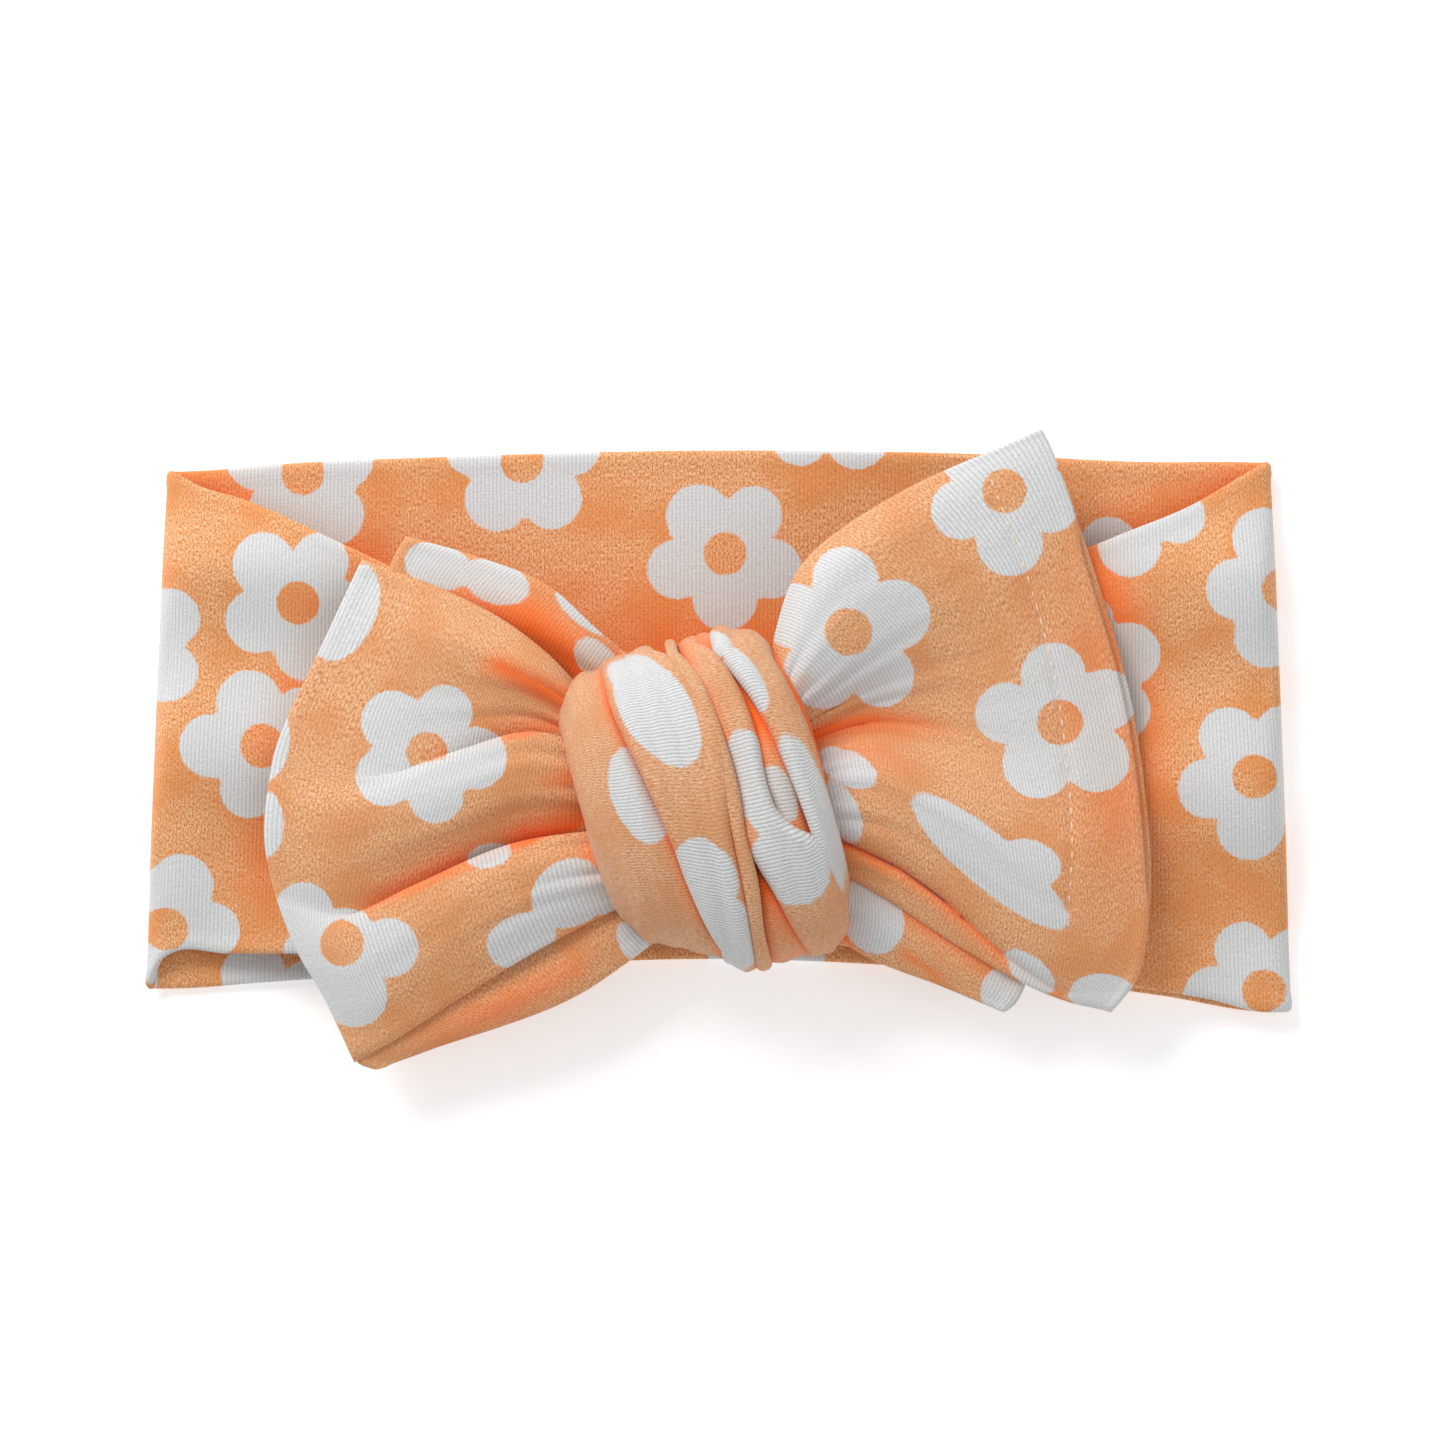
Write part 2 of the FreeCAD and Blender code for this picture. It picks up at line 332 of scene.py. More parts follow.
# Colours of the yarn, darker and paler, and the warmer painted shade mixed in where the cloth lies deep in
# a fold.
ORANGE_DARK, ORANGE_PALE = (0.60, 0.192, 0.045), (0.95, 0.56, 0.30)
ORANGE_CLOUD = (0.74, 0.245, 0.056)
ORANGE_PAINTED_SHADE = (0.95, 0.16, 0.022)
WHITE_DARK, WHITE_PALE = (0.60, 0.60, 0.595), (0.72, 0.73, 0.735)
WHITE_PAINTED_SHADE = (0.68, 0.48, 0.37)
BARE_YARN = (0.52, 0.39, 0.29)


def knit_vector(tree):
    """The knit's own coordinates in mm, along the strip and across it."""
    made = node(tree, "ShaderNodeCombineXYZ")
    for socket, name in zip(made.inputs, ("knit_along", "knit_across")):
        feed(tree, socket, attribute(tree, name))
    return made.outputs[0]


def wave(tree, name, pitch):
    """A wave from 0 to 1 along a knit attribute, once in each pitch."""
    turn = maths(tree, "MULTIPLY", attribute(tree, name), 2 * math.pi / pitch)
    half = maths(tree, "MULTIPLY", maths(tree, "SINE", turn), 0.5)
    return maths(tree, "ADD", half, 0.5)


def printed_white(tree, knit):
    """How white the print is, 0 to 1, with slightly ragged edges."""
    ragged = maths(tree, "MULTIPLY", maths(tree, "SUBTRACT", noise(tree, knit, scale=1.1), 0.5), 0.5)
    inside = [spread_range(tree, maths(tree, "ADD", attribute(tree, name), ragged),
                           PRINT_BLEED, -PRINT_BLEED) for name in ("petal", "eye")]
    return maths(tree, "MULTIPLY", inside[0], maths(tree, "SUBTRACT", 1.0, inside[1]))


def yarn_colour(tree, knit, white, bare):
    """Heathered orange with slow clouds, or heathered white, each mixed towards a warmer painted
    shade as far as the fold attribute says the cloth lies in shade.
    """
    stretched = node(tree, "ShaderNodeVectorMath", operation="MULTIPLY")
    stretched.inputs[1].default_value = (2.0, 0.9, 1.0)
    feed(tree, stretched.inputs[0], knit)
    heather = noise(tree, stretched.outputs[0], scale=2.3, detail=3.0, roughness=0.8)
    fleck = spread_range(tree, heather, 0.41, 0.59)
    cloud = spread_range(tree, noise(tree, knit, scale=0.09), 0.4, 0.68)
    # fold holds the painted shade, 0 to 1, which each mesh carries at its points
    fold = attribute(tree, "fold")
    orange = mix_colour(tree, fleck, ORANGE_DARK, ORANGE_PALE)
    orange = mix_colour(tree, maths(tree, "MULTIPLY", cloud, 0.62), orange, ORANGE_CLOUD)
    orange = mix_colour(tree, bare, orange, BARE_YARN)
    orange = mix_colour(tree, fold, orange, ORANGE_PAINTED_SHADE)
    pale = mix_colour(tree, fleck, WHITE_DARK, WHITE_PALE)
    pale = mix_colour(tree, maths(tree, "MULTIPLY", fold, 0.7), pale, WHITE_PAINTED_SHADE)
    return mix_colour(tree, white, orange, pale)


def relief(tree, knit, wale):
    """The normal of the cloth's fine relief: its knitted loops and a soft nap."""
    course = wave(tree, "knit_across", COURSE)
    loops = maths(tree, "MULTIPLY", wale, maths(tree, "ADD", maths(tree, "MULTIPLY", course, 0.5), 0.5))
    fuzz = noise(tree, knit, scale=2.6, detail=3.0, roughness=0.7)
    height = maths(tree, "ADD", maths(tree, "MULTIPLY", loops, 0.6), fuzz)
    bump = node(tree, "ShaderNodeBump")
    for key, value in (("Strength", 0.55), ("Distance", 0.00014), ("Height", height)):
        feed(tree, bump.inputs[key], value)
    return bump.outputs["Normal"]


def jersey_material(name, groove_light, bare):
    """Printed cotton jersey: heathered orange, white flowers, fine wales, a soft nap, and painted
    shade in the grooves between the wales with a painted highlight on their tops. The stretch of
    the cloth sets groove_light, how bright the painted shade leaves the grooves, and bare, how
    much undyed yarn shows in the orange."""
    material, shader = new_material(name, {
        "Roughness": 0.88, "Specular IOR Level": 0.25,
        "Sheen Weight": 0.22, "Sheen Roughness": 0.45, "Sheen Tint": (1.0, 0.93, 0.86),
    })
    tree = material.node_tree
    knit = knit_vector(tree)
    white = printed_white(tree, knit)
    wale = wave(tree, "knit_along", WALE)
    # Painted shade in the grooves between the wales and a painted highlight on their tops, multiplied into
    # the colour: fully on the white print, half on the orange.
    groove = spread_range(tree, wale, 0.0, 0.5, groove_light, WALE_PAINTED_HIGHLIGHT)
    deep = maths(tree, "ADD", maths(tree, "MULTIPLY", white, 0.5), 0.5)
    colour = mix_colour(tree, deep, yarn_colour(tree, knit, white, bare), groove, blend="MULTIPLY")
    feed(tree, shader.inputs["Base Color"], colour)
    feed(tree, shader.inputs["Normal"], relief(tree, knit, wale))
    return material


jersey = jersey_material("printed_jersey", 0.87, 0.0)
gathered_jersey = jersey_material("printed_jersey_gathered", 0.84, 0.14)
stretched_jersey = jersey_material("printed_jersey_stretched", 0.72, 0.30)


# --- The band: one loop of doubled cloth -------------------------------------------------------
GAP_TOP = 7.8          # middle height of the front run
BACK_MIDDLE = 0.92     # middle height of the back run
FOLD_RADIUS = (GAP_TOP - BACK_MIDDLE) / 2

# The side folds' edges at the back run, as (x, y): the lower and the upper end.
LEFT_FOLD_BOTTOM, LEFT_FOLD_TOP = (-88.3, -34.6), (-84.9, 43.3)
RIGHT_FOLD_BOTTOM, RIGHT_FOLD_TOP = (88.9, -41.0), (85.6, 44.7)
LEFT_STEP = 2.8        # half the height by which the front's lower edge misses the back's, at the left
CORNER_SLANT = 1.9     # how far the front's upper edge has dropped where it leaves a fold


def half_turn(low, high, side, count=9):
    """Stations round a side fold, from the front run down to the back run."""
    made = []
    for k in range(count):
        angle = math.pi * k / (count - 1)
        out = side * FOLD_RADIUS * (math.sin(angle) - 1)
        z = BACK_MIDDLE + FOLD_RADIUS * (1 + math.cos(angle))
        step = LEFT_STEP * (1 - 2 * ramp(angle, 0, math.pi / 2)) if side < 0 else 0.0
        slant = CORNER_SLANT * (1 + math.cos(angle)) / 2 * (1 - math.sin(angle))
        made.append((low[0] + out, low[1] + step, high[0] + out, high[1] - slant, z))
    return made


# Edge points of the band from the knot's left side, round the back, to its right side. Each is
# (lower edge's x, y, upper edge's x, y, height) in mm.
stations = [
    (-13, -24, -15, 5, 10.5),
    (-26, -28.5, -28, 15, 8.6),
    (-44, -30.5, -43, 24.3, 8),
    (-62, -31.6, -60.5, 33, 7.8),
    (-76, -31.8, -73, 38.6, 7.8),
]
stations += half_turn(LEFT_FOLD_BOTTOM, LEFT_FOLD_TOP, -1)
stations += [
    (-70, -36.4, -68, 44.4, BACK_MIDDLE),
    (-40, -34.4, -40, 45.6, BACK_MIDDLE),
    (0, -32.8, 0, 46.5, BACK_MIDDLE),
    (40, -34.8, 40, 46, BACK_MIDDLE),
    (70, -38.6, 68, 44.7, BACK_MIDDLE),
]
stations += half_turn(RIGHT_FOLD_BOTTOM, RIGHT_FOLD_TOP, 1)[::-1]
stations += [
    (76, -38.8, 74, 38, 7.8),
    (62, -36.6, 62, 33, 7.8),
    (44, -33.5, 43, 25, 8),
    (26, -31.5, 24, 15, 8.6),
    (12, -29, 10, 6, 10.5),
]

BACK_FLOWERS = [
    (-64.5, 42.9, 18, 1), (-30.3, 44.8, 20, 1), (1.3, 30.4, -90, 1), (17.4, 54.6, 18, 1),
    (60, 24, 10, 1), (-52, 8, 40, 1), (-18, 0, 0, 1),
    (38, -4, 20, 1), (-70, -42, 36, 1), (8, -26, 15, 1), (-40, -24, 50, 1),
    (72, -10, 36, 1), (50, -30, 60, 1),
]
FRONT_FLOWERS = [
    (-64.8, 22.7, 60, 1), (-90.5, 16.9, 30, 1), (-70.3, 0.5, 36, 1), (-85.4, -27.9, 70, 1),
    (-62, -40, 20, 1), (87.4, 24.7, 180, 1), (83, -4.3, 50, 1), (84.9, -37.6, 45, 1),
    (57.2, 12, 22.7, 1), (65.2, 39.3, -100, 1), (-40, 8, 0, 1), (40, -12, 0, 1),
]
# Where the front panels lie in the shade of the tails: (x, y, strength) along each tail's hem.
BAND_SHADES = [
    ([(53.2, 45.2, 0.2), (60.3, 23.9, 0.8), (64.1, 10.7, 0.7), (66.1, 0.5, 0.45),
      (67.7, -15.8, 0.3), (65.5, -36, 0.1)], 4.5, 4.5),
    ([(-55.4, 29.6, 0.3), (-62.6, 14.2, 0.5), (-68.9, 0, 0.4), (-69.7, -19.8, 0.35)], 4.5, 4.5),
]
FRONT_FROM, FRONT_TO = 6.0, 7.6    # heights between which the front run's own shape sets in
BACK_TO = 2.0          # height below which the cloth shows the back run's print
RAYS = 13              # creases in a radian which fan out from the knot in the front run
RAY_CENTRE = (-4, -6)  # where they fan out from, outwards and upwards
RAY_PHASES = (0.4, 1.7)    # of them, on the left and on the right
RAY_HEIGHT = 0.2       # of them, far from the knot
RAY_HEIGHT_NEAR = 0.56     # and how much higher they are near it
NEAR_KNOT, NEAR_FADE = 20, 45  # how far out that is, and in what distance it fades
SWELL_HEIGHT = 0.9     # of the soft swells along the front panels
SWELL_PITCH = 29.0
SWELL_SHIFTS = (0.0, 5.0)  # of them downwards, on the left and on the right
SWELL_FROM, SWELL_TO = 20, 45  # how far out they set in
SAG_HEIGHT = 0.35      # of the back run's slow waves
SAG_ACROSS, SAG_UP = 13.0, 19.0    # the distances in which they turn by a radian
PRESSED = 0.62         # the share of its height which a side fold loses at the band's corners
# The pressed corners set in over these distances, upwards or downwards and outwards.
UPPER_CORNER = ((26, 43), (50, 80))
LOWER_CORNER = ((12, 32), (55, 82))
# Shade on the back run, as (depth, reach): above the front run's edge, and round the knot.
UNDER_FRONT = (0.65, 5.0)
ROUND_KNOT = (0.85, 7.0)
KNOT_SHADOW_Y, KNOT_SHADOW_HALF = 6, 10    # its middle and half its height,
KNOT_SHADOW_STRETCH = 1.5  # and its width, as a share of its height
SHADE_ENDS = 90        # how far out the shade reaches


def shape_band(points):
    """Gives the band its creases, swells and pressed corners."""
    x, y = points[..., 0], points[..., 1]
    out = np.abs(x)
    is_front = ramp(points[..., 2], FRONT_FROM, FRONT_TO)
    is_back = 1 - ramp(points[..., 2], BACK_MIDDLE + 0.1, BACK_MIDDLE + 0.8)
    near_knot = np.exp(-((out - NEAR_KNOT) / NEAR_FADE) ** 2)
    ray_angle = np.arctan2(y - RAY_CENTRE[1], out - RAY_CENTRE[0])
    rays = np.sin(ray_angle * RAYS + np.where(x < 0, *RAY_PHASES))
    swells = np.cos((y + np.where(x < 0, *SWELL_SHIFTS)) * 2 * math.pi / SWELL_PITCH)
    points[..., 2] += is_front * (RAY_HEIGHT + RAY_HEIGHT_NEAR * near_knot) * rays
    points[..., 2] += is_front * SWELL_HEIGHT * swells * ramp(out, SWELL_FROM, SWELL_TO)
    points[..., 2] += is_back * SAG_HEIGHT * (1 + np.sin(x / SAG_ACROSS + y / SAG_UP))
    upper_corner = ramp(y, *UPPER_CORNER[0]) * ramp(out, *UPPER_CORNER[1])
    lower_corner = ramp(-y, *LOWER_CORNER[0]) * ramp(out, *LOWER_CORNER[1])
    kept = 1 - PRESSED * np.maximum(upper_corner, lower_corner)
    points[..., 2] = BACK_MIDDLE + (points[..., 2] - BACK_MIDDLE) * kept


def back_shade(x, y):
    """Shade on the part of the back run which shows above the front run."""
    front_edge = np.array(sorted((x, y) for _, _, x, y, z in stations if z >= GAP_TOP))
    above = y - np.interp(x, *front_edge.T)
    beside = np.hypot(x / KNOT_SHADOW_STRETCH, y - KNOT_SHADOW_Y) - KNOT_SHADOW_HALF
    shades = [depth * np.exp(-np.clip(away, 0, None) / reach)
              for away, (depth, reach) in ((above, UNDER_FRONT), (beside, ROUND_KNOT))]
    in_sight = ramp(above, -4, 0) * ramp(SHADE_ENDS - np.abs(x), 0, 12)
    return np.maximum(*shades) * in_sight


def band_loop():
    stops = np.array(stations, float)
    ribs_low = stops[:, [0, 1, 4]]
    ribs_high = stops[:, [2, 3, 4]]
    share = np.linspace(0, 1, 4)[:, None, None]
    band = Patch(ribs_low * (1 - share) + ribs_high * share, seen=False)
    q = steps(band.width, 1.0, CLOTH_HALF)
    r = steps(band.length, 0.9, CLOTH_HALF)
    points = band.at(q, r)
    is_back = points[..., 2] < BACK_TO
    shape_band(points)
    x, y = points[..., 0], points[..., 1]
    front_print = flower_distance(x, y, FRONT_FLOWERS)
    back_print = flower_distance(x, y, BACK_FLOWERS)
    petal, eye = np.where(is_back, back_print, front_print)
    shade = np.where(is_back, back_shade(x, y), crease_tint(x, y, BAND_SHADES))
    size = (band.length, band.width)
    piece = closed_sheet("band_loop", points, CLOTH_HALF, q, r, size, jersey, petal, eye, shade)
    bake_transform(piece)
    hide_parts("back_panel", "left_side_fold", "right_side_fold",
                "front_left_panel", "front_right_panel")


# --- The knot's own frame ----------------------------------------------------------------------
inner_low, inner_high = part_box("knot_inner_turn")
KNOT_CENTRE = np.array(inner_low + inner_high) / 2 / MM
LEAN = math.radians(14.0)
ACROSS = np.array([math.cos(LEAN), math.sin(LEAN), 0.0])
ALONG = np.array([-math.sin(LEAN), math.cos(LEAN), 0.0])
KNOT_HALF_HEIGHT = 13.5
KNOT_REACH = 19.9      # from the centre to the knot's left and right sides
KNOT_GIRTH = 110.0     # of a wrap, once round the knot's top


def root(side, v, z, u=14.0):
    """A point where a tail goes into the knot, v along the knot's length."""
    p = KNOT_CENTRE + ACROSS * (side * u) + ALONG * v
    return (p[0], p[1], z)


# --- Tails -------------------------------------------------------------------------------------
SEAM_DEPTH = 1.7       # of the line pressed in beside the lap
STITCH_DEPTH = 0.3     # of the dent along the hem's stitches
GATHER_FADE = 3.2      # how fast the gathers at a neck die out along the tail


def tail_sheet(name, ribs, nodes, flowers, blots=(), crease=0.0, shades=(), hem=0.0,
               hides=None, seam=None):
    """One layer of a tail as a closed sheet of doubled cloth. crease is the height of its gathers at
    the neck; hides is a pleat's edge which covers the eye below it; seam is a line pressed into
    the layer."""
    patch = Patch(ribs)
    q = steps(patch.width, 0.7, CLOTH_HALF)
    r = steps(patch.length, 0.8, CLOTH_HALF)
    points = patch.at(q, r)
    if hem:
        short = hem * ramp(q, HEM_FROM - 0.04, HEM_FROM + 0.06) * ramp(-q, -HEM_TO - 0.06, -HEM_TO + 0.04)
        for i, less in enumerate(short):
            points[i] = smooth(r, points[i], r * (1 - less / patch.length))
    qq, rr = np.meshgrid(q, r, indexing="ij")
    across = qq * patch.width
    gathers = np.sin(across * 1.3 + 2.0 * np.sin(rr * 5)) + 0.6 * np.sin(across * 2.1 + 1.3)
    points[..., 2] += crease * gathers * np.exp(-rr * GATHER_FADE)

    x, y = np.moveaxis(seen_from_camera(points), -1, 0)
    if seam is not None:
        stitched = [(*place, 1.0) for place in STITCH_LINE]
        points[..., 2] -= SEAM_DEPTH * crease_tint(x, y, [(seam, 0.9, 0.9)])
        points[..., 2] -= STITCH_DEPTH * crease_tint(x, y, [(stitched, 0.8, 0.8)])

    petal, eye = flower_distance(x, y, flowers, blots)
    if hides is not None:
        edge = np.interp(x, *np.array(hides).T)
        over = (x > hides[0][0]) & (x < hides[-1][0])
        eye = np.where(over, np.maximum(eye, edge - y), eye)
    shade = crease_tint(x, y, shades)

    size = (patch.length, patch.width)
    piece = closed_sheet(name, points, CLOTH_HALF, q, r, size, gathered_jersey, petal, eye, shade)
    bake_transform(piece)
    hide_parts(*nodes)
    return points


LEFT_FLOWERS = [(-45.2, -0.6, 66, 0.97), (-58.3, -30.4, 139.5, 1.02, 4)]
LEFT_PLEAT_EDGE = [(-54, -4.2), (-46.9, -3), (-33.7, 0.5), (-24.1, 2.6)]
LEFT_BLOTS = [
    (-57.9, 21.2, 8, 4.8, 66), (-69.5, 0.5, 5.8, 3, 80), (-70, -11.8, 5, 2.6, 90),
    (-23.2, -22.4, 6, 5, 30), (-30.6, -29.8, 5.5, 4.2, 20), (-17.7, -22.5, 3.5, 3, 0),
    (-35.6, -16.6, 3.6, 2.2, 10),
]
left_main = [
    [root(-1, 19, 13), (-25.9, 14.1, 15.5), (-34.5, 20.8, 14.5), (-44.5, 25.6, 12.5), (-55.4, 29.6, 10.8)],
    [root(-1, 17.5, 16), (-27, 11.5, 18.5), (-37.5, 16, 17.5), (-47.5, 19.6, 15), (-58.4, 23.2, 11.5)],
    [root(-1, 15, 16), (-28.5, 8, 16.5), (-40, 9.5, 16.3), (-51, 11.5, 15), (-62.6, 14.2, 12)],
    [root(-1, 12.5, 15.5), (-29.5, 4.5, 15), (-42, 3.5, 15.8), (-54, 4, 15), (-66.3, 6.5, 12)],
    [root(-1, 9, 14), (-29.5, -1.5, 14.2), (-43.5, -5, 15.5), (-56, -3.5, 15), (-68.9, 0, 12)],
    [root(-1, 10.5, 17), (-28.3, 2.2, 18.4), (-41, -0.9, 17.4), (-55.6, -5.6, 15.5), (-69.6, -3.2, 12.1)],
    [root(-1, 8, 18), (-28.6, -1.5, 19.3), (-42, -5, 18.5), (-56.6, -9, 16.3), (-70.4, -8.5, 12.5)],
    [root(-1, 4, 18), (-29.4, -6.5, 18.7), (-44, -11.5, 17.7), (-58, -14.5, 15.5), (-70.6, -14.5, 12.5)],
    [root(-1, 0.5, 16), (-30.6, -12, 15.3), (-46, -17.8, 14.6), (-58.8, -20.5, 14), (-69.7, -19.8, 12)],
    [root(-1, -3, 13), (-31.5, -17.6, 11.6), (-46.8, -23.8, 11.8), (-59.5, -25.8, 12.4),
     (-68.9, -22.9, 11.9)],
    [root(-1, -1.5, 16), (-31.3, -15.2, 16.6), (-46.6, -21.6, 15.6), (-59.7, -27.6, 13.6),
     (-67.9, -25.8, 12.1)],
    [root(-1, -5, 17.5), (-30.6, -19, 18.4), (-45.6, -26.2, 17), (-58, -32, 14.5), (-65.4, -31.8, 12.2)],
    [root(-1, -9, 16.5), (-29.2, -24.4, 17.5), (-43.6, -32.4, 16), (-55, -38.8, 13.6),
     (-61.6, -38.2, 11.8)],
    [root(-1, -12.5, 13), (-26.4, -30.6, 14.4), (-40.8, -39.4, 12.8), (-50.8, -45.8, 11.2),
     (-56.6, -49, 10.6)],
]
left_back = [
    [root(-1, 24, 12.5, 5.5), (-18.6, 18.6, 14.5), (-26.5, 25.6, 14), (-37, 29.9, 12.5), (-48.5, 33.2, 11)],
    [root(-1, 22, 14, 7.5), (-20.8, 15.8, 15.3), (-30, 21.8, 14.8), (-40.5, 26.6, 12.8), (-50.6, 29.6, 11)],
    [root(-1, 19, 13, 10), (-23, 11.4, 11.8), (-33, 15.6, 11.2), (-43, 20, 10.9), (-53, 22.6, 10.4)],
    [root(-1, 14, 11.8, 12), (-25.6, 5, 10.9), (-37, 8, 10.4), (-47, 12, 10.2), (-57, 15.4, 10)],
]
left_under = [
    [root(-1, -4, 11), (-28, -22, 10.4), (-42, -31, 10.4), (-52, -40, 10), (-58.6, -44, 9.8)],
    [root(-1, -12, 12.5), (-26.6, -31.8, 12.6), (-40.6, -40.2, 11.8), (-50, -46, 10.4),
     (-56.2, -48.9, 9.9)],
    [root(-1, -15, 12.5, 13), (-24.6, -35.6, 12.8), (-37.8, -42, 11.8), (-47.2, -46.6, 10.4),
     (-54.9, -49.6, 9.8)],
    [root(-1, -19, 11, 11), (-21.6, -38.4, 11), (-34, -43.4, 10.5), (-44, -46.2, 9.8), (-53.2, -49.9, 9.5)],
]
RIGHT_FLOWERS = [(20.5, 18.3, 20, 1.08), (44.8, 40.1, 60, 1.03), (53.5, 4.1, 98, 1.07)]
RIGHT_BLOTS = [
    (42.6, -17.6, 15.6, 4, -40), (48.2, -18, 5.5, 3.8, -10), (20.4, -3.2, 4.8, 2.5, -24),
    (19.8, -9.6, 5, 2.3, -64),
    (60.5, -38.5, 5.5, 3.5, -10), (49, -34.5, 4.8, 2.2, -40),
]
right_main = [
    [root(1, 13, 13), (9.7, 19.5, 14.5), (13.8, 29.2, 14.5), (27, 39, 13), (50.8, 49.9, 10.6)],
    [root(1, 12, 17), (12.6, 18.5, 18.6), (18, 27.6, 18.2), (31, 36.4, 15.6), (52, 47.6, 11.4)],
    [root(1, 10.5, 18), (17, 15.8, 19.4), (24.6, 23.4, 18.2), (36.5, 30.6, 16), (53.6, 43.6, 12)],
    [root(1, 9, 17), (20.4, 12, 17.4), (29.5, 18.2, 16.4), (41, 24.8, 15.5), (55.9, 37, 12)],
    [root(1, 7.5, 15.5), (22.4, 9, 15), (33, 13, 14.4), (44.8, 17.4, 14.4), (58.5, 29.6, 12)],
    [root(1, 6, 13.5), (23.4, 6, 13.2), (35.4, 7, 13), (47.2, 8.6, 14), (61.2, 21, 12)],
    [root(1, 4.5, 12.5), (23.9, 2.8, 12.6), (37, 0.8, 12.8), (49.2, -0.6, 13.8), (63.8, 12, 12)],
    [root(1, 2.5, 15), (24.2, -0.4, 15.8), (37.4, -4.4, 15.4), (50.8, -9, 15), (65.8, 2, 12.2)],
    [root(1, 0, 18), (24.6, -3.6, 18.8), (37.6, -9.8, 18), (51.6, -17, 16.2), (67.2, -9, 12.6)],
    [root(1, -4, 18.5), (26, -10, 18.8), (39, -17, 17.4), (52.6, -25, 15.4), (67.9, -19.5, 12.6)],
    [root(1, -8, 17), (26.6, -16.4, 17), (38.4, -24, 15.6), (51.8, -31.6, 14.2), (67.2, -29.4, 12.2)],
    [root(1, -11, 14.5), (26, -20.6, 15), (37.6, -28.4, 13.8), (51, -36, 12.4), (65.4, -36.4, 11.4)],
    [root(1, -12.5, 13), (25.4, -22.6, 13.2), (37, -30.2, 12.4), (50.4, -37.8, 11.2), (61.6, -41.2, 10.8)],
]
right_low = [
    [root(1, -4, 11), (24, -15, 11), (36, -24, 10.7), (49, -32, 10.4)],
    [root(1, -13, 12.8), (25.6, -24.6, 13.2), (36.4, -30.4, 12.2), (48.6, -35.8, 10.4)],
    [root(1, -17, 13.2, 13), (25.6, -28.8, 13.2), (35.6, -34, 11.8), (47, -39.4, 10.2)],
    [root(1, -22, 11, 11), (24.6, -33, 11), (34.6, -36.8, 10.2), (44.9, -41.2, 9.8)],
]
RIGHT_LOW_BLOTS = [(24.2, -26, 4.6, 6, 30), (45.5, -38, 4.4, 4, -30)]
LEFT_BACK_BLOTS = [(-43.5, 28.5, 5.2, 3.6, -15), (-34.4, 26, 5.4, 3.2, -20), (-21.4, 21.3, 5, 1.7, -42),
                   (-18.8, 13.8, 4.2, 2.4, -48)]
LEFT_UNDER_BLOTS = [(-13.2, -30, 3.4, 2.2, -60)]


# Shade in the tails' folds, as for crease_tint.
LEFT_SHADES = [
    ([(-15, -10, 1), (-20.2, -11.2, 1), (-27, -14.2, 0.9), (-33.7, -16.8, 0.6),
      (-49.3, -23.3, 0.4), (-58, -27, 0)], 0.25, 4.2),
    ([(-20, 4.2, 0.7), (-33.7, 0.9, 0.4), (-46.9, -2.7, 0)], 0.3, 3),
    ([(-22, 7, 0.9), (-26.5, 9.4, 0.9), (-33.5, 12.9, 0.9), (-38, 14, 0)], 1.9, 1.5),
    ([(-20, -4, 0.9), (-24, -4.8, 0.6), (-29, -4.6, 0)], 1.6, 1.6),
    ([(-17, -12, 0.8), (-19.2, -19.5, 0.6), (-17.2, -22, 0.3)], 2.4, 2.4),
    ([(-20, -30, 0.5), (-34, -38.5, 0.4), (-46, -46, 0.2)], 1.5, 3),
]
LEFT_BACK_SHADES = [
    ([(-18.5, 11, 1), (-23.5, 14.6, 1), (-29.5, 19.2, 1), (-35, 22.3, 0.75),
      (-42, 26, 0.3)], 4, 4.5),
]
LEFT_UNDER_SHADES = [
    ([(-12.5, -27, 1), (-17, -22.5, 0.9), (-22, -28, 0.4)], 0.8, 0.8),
    ([(-22, -34.5, 0.4), (-34, -40.5, 0.5), (-46, -46.5, 0.2)], 2, 3),
]
RIGHT_SHADES = [
    ([(14, 2, 1), (18, 3.6, 0.95), (23.9, 4.9, 0.75), (30, 4.6, 0.45), (40, 2.6, 0)],
     1.3, 2.6),
    ([(12, 9, 1), (13.8, 11.2, 0.9)], 0.8, 0.8),
    ([(18, -15, 0.9), (20.5, -15.3, 1), (22.4, -15.9, 0.6)], 0.7, 0.9),
    ([(20.5, -14.6, 1), (28.6, -18.6, 0.95), (34.8, -23.1, 0.85), (44.6, -31.8, 0.7),
      (54, -38.2, 0.4)], 0.5, 1.3),
    ([(16, 0, 0.3), (24, -1, 0.25), (36, -6, 0)], 2, 2),
    ([(56, 24, 0.15), (60, 8, 0.3), (62.5, -8, 0.35), (62, -24, 0.15)], 7, 7),
]
RIGHT_LOW_SHADES = [
    ([(19, -25, 0.9), (20.3, -29, 0.8), (21.5, -31.5, 0.3)], 1.2, 0.9),
    ([(29.3, -31.7, 0.6), (34.8, -35.3, 0.5)], 0.7, 0.7),
    ([(22, -19, 0.9), (34, -27, 0.8), (47, -35, 0.8)], 2.5, 2.5),
]
HEM_TURN_SHADES = [
    ([(60.3, 24, 0.6), (63.4, 8, 0.6), (66, -9, 0.5), (66.4, -26, 0.3)], 0.5, 0.5),
]
# The line pressed into the right tail above its lap, as (x, y, strength).
LAP_SEAM = [(18, -13.6, 1), (20.5, -14.6, 1), (28.6, -18.6, 1), (34.8, -23.1, 0.9),
            (44.6, -31.8, 0.7), (54, -38.2, 0.4)]
